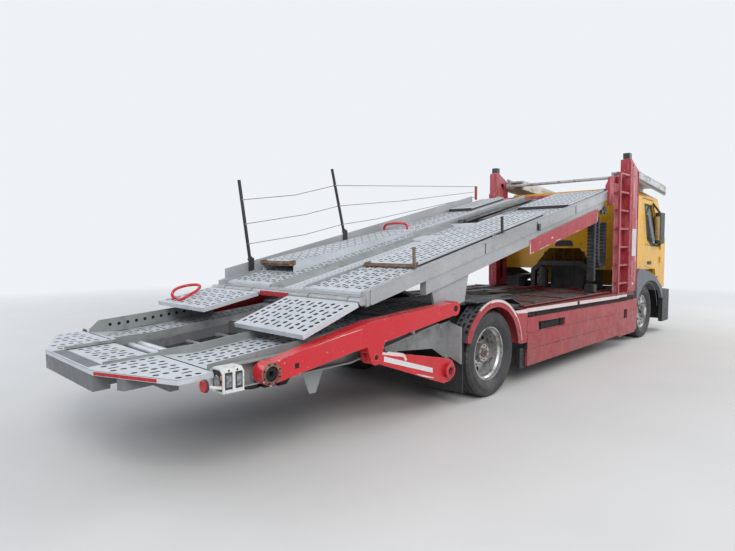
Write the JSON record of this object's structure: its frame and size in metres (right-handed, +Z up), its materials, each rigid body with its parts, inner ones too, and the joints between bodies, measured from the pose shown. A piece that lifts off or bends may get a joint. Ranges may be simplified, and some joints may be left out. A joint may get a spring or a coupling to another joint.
{
  "type": "car transporter truck",
  "caption": "Car transporter truck with a tilting upper deck on half-scissor lift arms, a lower deck, tail deck, loading ramps and a day cab.",
  "frame": {"origin": "on the ground under the middle of the truck's box", "axes": "+X forward along the truck, +Y to its left, +Z up"},
  "size_m": [10.2, 2.584, 3.06],
  "materials": {
    "red_frame": "satin",
    "red_paint": "gloss",
    "yellow_paint": "gloss",
    "galvanised": "matte",
    "dark_track": "matte",
    "weathered_grey": "matte",
    "dark_metal": "matte",
    "tank_alloy": "satin",
    "cab_glass": "gloss",
    "black_plastic": "matte",
    "grey_plastic": "matte",
    "black_paint": "satin",
    "black_rubber": "matte",
    "white_lamp": "gloss",
    "chrome_rod": "gloss",
    "wheel_alloy": "satin",
    "tyre_rubber": "matte"
  },
  "bodies": {
    "chassis": {"chassis_frame": "red_frame", "front_axle": "dark_metal", "rear_axle": "dark_metal", "suspension_springs": "dark_metal", "engine_block": "dark_metal", "tanks": "tank_alloy", "cab_body": "yellow_paint", "windscreen": "cab_glass", "front_bumper": "black_plastic", "cab_arches": "grey_plastic", "cab_interior": "black_plastic", "cab_mount": "black_paint", "side_skirts": "red_paint", "rear_fenders": "red_paint", "guard_plates": "galvanised", "mudflaps": "black_rubber", "lower_deck_frame": "red_frame", "lower_deck_tracks": "dark_track", "tail_plates": "galvanised", "tail_frame": "galvanised", "side_rails": "galvanised", "rear_lamps": "white_lamp", "tow_coupling": "black_paint", "masts": "red_paint", "lift_barrels": "dark_metal"},
    "carriage": {"mast_carriage": "red_paint"},
    "upper_deck": {"upper_deck_frame": "galvanised", "upper_deck_tracks": "galvanised", "deck_overlays": "galvanised", "deck_valances": "red_paint"},
    "ramp_right": {"ramp_right": "galvanised"},
    "ramp_left": {"ramp_left": "galvanised"},
    "long_arms": {"long_arms": "red_paint"},
    "short_arms": {"short_arms": "red_paint"},
    "lift_rods": {"lift_rods": "chrome_rod"},
    "over_cab_deck": {"over_cab_tracks": "weathered_grey"},
    "door_left": {"door_left": "yellow_paint", "door_glass_left": "cab_glass", "mirror_left": "black_plastic"},
    "door_right": {"door_right": "yellow_paint", "door_glass_right": "cab_glass", "mirror_right": "black_plastic"},
    "knuckle_left": {"knuckle_left": "dark_metal"},
    "knuckle_right": {"knuckle_right": "dark_metal"},
    "wheel_front_left": {"rim_front_left": "wheel_alloy", "tyre_front_left": "tyre_rubber"},
    "wheel_front_right": {"rim_front_right": "wheel_alloy", "tyre_front_right": "tyre_rubber"},
    "wheels_rear_left": {"rims_rear_left": "wheel_alloy", "tyres_rear_left": "tyre_rubber"},
    "wheels_rear_right": {"rims_rear_right": "wheel_alloy", "tyres_rear_right": "tyre_rubber"}
  },
  "joints": [
    {"name": "deck_tilt", "type": "hinge", "parent": "carriage", "child": "upper_deck", "pos_m": [2.36, 0, 2.42], "axis": [0, 1, 0], "range_deg": [0, 12.95]},
    {"name": "carriage_lift", "type": "slide", "parent": "chassis", "child": "carriage", "axis": [0, 0, 1], "range_m": [0, 0.1601]},
    {"name": "short_arm_swing", "type": "hinge", "parent": "chassis", "child": "short_arms", "pos_m": [-2.2, 0, 0.415], "axis": [0, 1, 0], "range_deg": [0, 41.25]},
    {"name": "long_arm_knee", "type": "hinge", "parent": "short_arms", "child": "long_arms", "pos_m": [-3.23, 0, 0.7], "axis": [0, 1, 0], "range_deg": [-77.7, 0]},
    {"name": "lift_rod_slide", "type": "slide", "parent": "chassis", "child": "lift_rods", "axis": [1, 0, 0], "range_m": [0, 0.1428]},
    {"name": "ramp_right_hinge", "type": "hinge", "parent": "upper_deck", "child": "ramp_right", "pos_m": [-3.285, -0.6875, 1.14], "axis": [0, 1, 0], "range_deg": [0, 95]},
    {"name": "ramp_left_hinge", "type": "hinge", "parent": "upper_deck", "child": "ramp_left", "pos_m": [-3.285, 0.6875, 1.14], "axis": [0, 1, 0], "range_deg": [0, 95]},
    {"name": "over_cab_tilt", "type": "hinge", "parent": "chassis", "child": "over_cab_deck", "pos_m": [2.945, 0, 2.735], "axis": [0, -1, 0], "range_deg": [0, 10]},
    {"name": "door_left_hinge", "type": "hinge", "parent": "chassis", "child": "door_left", "pos_m": [4.526, 1.1863, 1.7], "axis": [0, 0, -1], "range_deg": [0, 70]},
    {"name": "door_right_hinge", "type": "hinge", "parent": "chassis", "child": "door_right", "pos_m": [4.526, -1.1863, 1.7], "axis": [0, 0, 1], "range_deg": [0, 70]},
    {"name": "steer_left", "type": "hinge", "parent": "chassis", "child": "knuckle_left", "pos_m": [3.7, 0.83, 0.455], "axis": [0, 0, 1], "range_deg": [-38, 38]},
    {"name": "steer_right", "type": "hinge", "parent": "chassis", "child": "knuckle_right", "pos_m": [3.7, -0.83, 0.455], "axis": [0, 0, 1], "range_deg": [-38, 38]},
    {"name": "wheel_front_left_spin", "type": "hinge", "parent": "knuckle_left", "child": "wheel_front_left", "pos_m": [3.7, 1.03, 0.455], "axis": [0, 1, 0], "continuous": true},
    {"name": "wheel_front_right_spin", "type": "hinge", "parent": "knuckle_right", "child": "wheel_front_right", "pos_m": [3.7, -1.03, 0.455], "axis": [0, 1, 0], "continuous": true},
    {"name": "wheels_rear_left_spin", "type": "hinge", "parent": "chassis", "child": "wheels_rear_left", "pos_m": [-1.4, 1.07, 0.455], "axis": [0, 1, 0], "continuous": true},
    {"name": "wheels_rear_right_spin", "type": "hinge", "parent": "chassis", "child": "wheels_rear_right", "pos_m": [-1.4, -1.07, 0.455], "axis": [0, 1, 0], "continuous": true}
  ],
  "couplings": [
    {"joint": "carriage_lift", "follows": "deck_tilt", "m_per_rad": 0.7079},
    {"joint": "short_arm_swing", "follows": "deck_tilt", "ratio": 3.1814},
    {"joint": "long_arm_knee", "follows": "deck_tilt", "ratio": -5.995},
    {"joint": "lift_rod_slide", "follows": "deck_tilt", "m_per_rad": 0.63039},
    {"joint": "steer_right", "follows": "steer_left", "ratio": 1}
  ]
}
